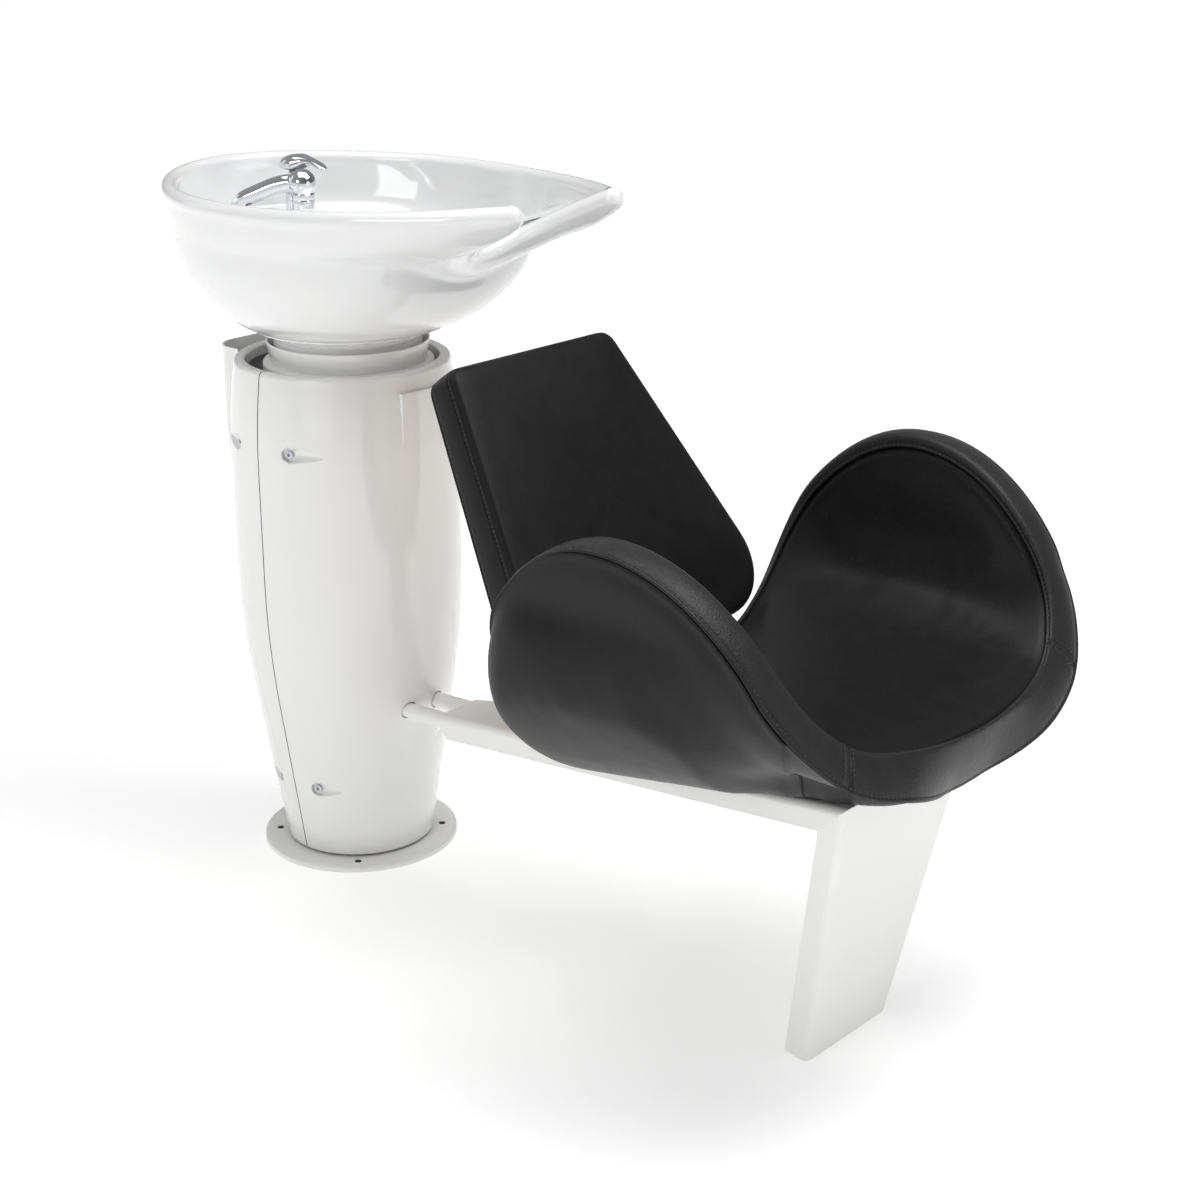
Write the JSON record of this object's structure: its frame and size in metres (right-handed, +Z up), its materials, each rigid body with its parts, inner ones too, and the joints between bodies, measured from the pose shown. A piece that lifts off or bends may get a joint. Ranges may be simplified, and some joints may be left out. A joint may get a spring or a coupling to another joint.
{
  "type": "salon backwash unit",
  "caption": "Salon backwash unit: tilting ceramic basin with mixer and hand shower on a cased column, joined to an upholstered armchair on a white steel beam and leg.",
  "frame": {"origin": "centre of the circle of floor bolts, on the floor", "axes": "+Z up, +X from the basin column to the front of the seat, +Y to the sitting person's left"},
  "size_m": [1.3195, 0.6656, 1.0028],
  "materials": {
    "white_enamel": "white powder coat, satin",
    "zinc_steel": "bright zinc plating",
    "white_casing": "smooth gloss white",
    "white_skirt": "smooth white",
    "ceramic": "white vitreous glaze",
    "chrome": "polished",
    "brass": "turned",
    "rubber": "black",
    "black_plastic": "fine matte",
    "friction_lining": "hard friction lining",
    "plywood": "moulded beech ply",
    "leather_foam": "black leather over moulded foam"
  },
  "bodies": {
    "chair_and_column": {"base_flange": "white_enamel", "centre_post": "zinc_steel", "pedestal_head": "white_enamel", "tube_sockets": "zinc_steel", "socket_screws": "zinc_steel", "lower_spider": "zinc_steel", "upper_spider": "zinc_steel", "front_casing": "white_casing", "rear_casing": "white_casing", "hose_duct": "white_casing", "casing_screws": "zinc_steel", "casing_nuts": "zinc_steel", "collar_cup": "white_enamel", "tilt_fork": "zinc_steel", "fork_screws": "zinc_steel", "pivot_bolts": "zinc_steel", "pivot_nuts": "zinc_steel", "friction_washers": "friction_lining", "seat_frame": "white_enamel", "leg_foot_plate": "white_enamel", "leg_glides": "rubber", "seat_riser": "zinc_steel", "riser_bolts": "zinc_steel", "seat_board": "plywood", "board_bolts": "zinc_steel", "seat_pad": "leather_foam", "seat_border": "leather_foam", "seat_outer": "leather_foam", "backrest_bracket": "zinc_steel", "bracket_bolts": "zinc_steel", "backrest_screws": "zinc_steel", "backrest_board": "plywood", "backrest_cushion": "leather_foam"},
    "basin": {"basin_cradle": "zinc_steel", "cradle_bolts": "zinc_steel", "neck_skirt": "white_skirt", "ceramic_basin": "ceramic", "waste_flange": "chrome", "waste_gasket": "rubber", "waste_nut": "black_plastic", "mixer_base": "chrome", "mixer_nut": "brass", "mixer_body": "chrome", "shower_dock": "chrome", "dock_nut": "brass"},
    "strainer": {"waste_strainer": "chrome"},
    "mixer": {"mixer_spindle": "black_plastic"},
    "lever": {"mixer_lever": "chrome"},
    "handset": {"shower_handset": "chrome", "spray_face": "black_plastic"}
  },
  "joints": [
    {"name": "basin_tilt", "type": "hinge", "parent": "chair_and_column", "child": "basin", "pos_m": [0.013, 0, 0.752], "axis": [0, 1, 0], "range_deg": [-5, 5]},
    {"name": "strainer_lift", "type": "slide", "parent": "basin", "child": "strainer", "axis": [0, 0, 1], "range_m": [0, 0.08]},
    {"name": "mixer_turn", "type": "hinge", "parent": "basin", "child": "mixer", "pos_m": [-0.144, 0.055, 0.962], "axis": [0, 0, 1], "range_deg": [-45, 45]},
    {"name": "lever_lift", "type": "hinge", "parent": "mixer", "child": "lever", "pos_m": [-0.144, 0.055, 0.9706], "axis": [0, -1, 0], "range_deg": [0, 18]},
    {"name": "handset_lift", "type": "slide", "parent": "basin", "child": "handset", "axis": [0, 0, 1], "range_m": [0, 0.12]}
  ]
}
